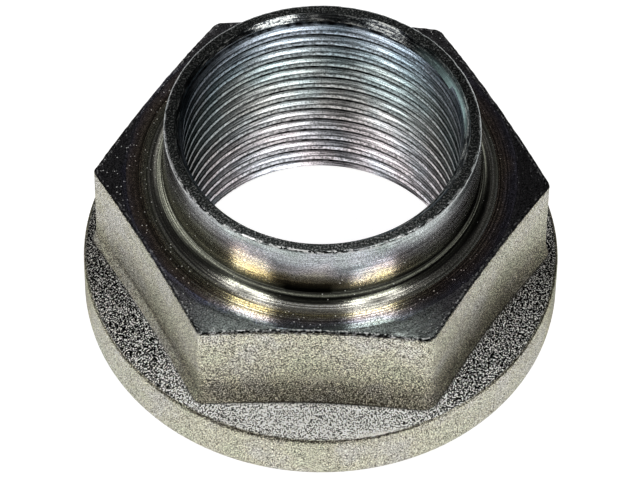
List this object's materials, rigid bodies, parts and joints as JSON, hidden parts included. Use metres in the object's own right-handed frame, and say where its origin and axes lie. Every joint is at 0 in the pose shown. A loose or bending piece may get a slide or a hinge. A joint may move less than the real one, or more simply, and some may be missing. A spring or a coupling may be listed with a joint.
{
  "type": "spindle nut",
  "caption": "Hexagon flange nut with a fine-thread bore, a conical flange under the hexagon and a thin turned collar on top for staking.",
  "frame": {"origin": "centre of the bearing face under the flange, where the nut rests", "axes": "+Z along the bore axis, from the bearing face towards the collar; two corners of the hexagon on the X axis"},
  "size_m": [0.0428, 0.0428, 0.0225],
  "materials": {
    "zinc_steel": "zinc plated with a thin yellow-blue passivation: matte on forged faces, turned and glossy on machined ones"
  },
  "bodies": {
    "root": {"spindle_nut": "zinc_steel"}
  },
  "joints": []
}
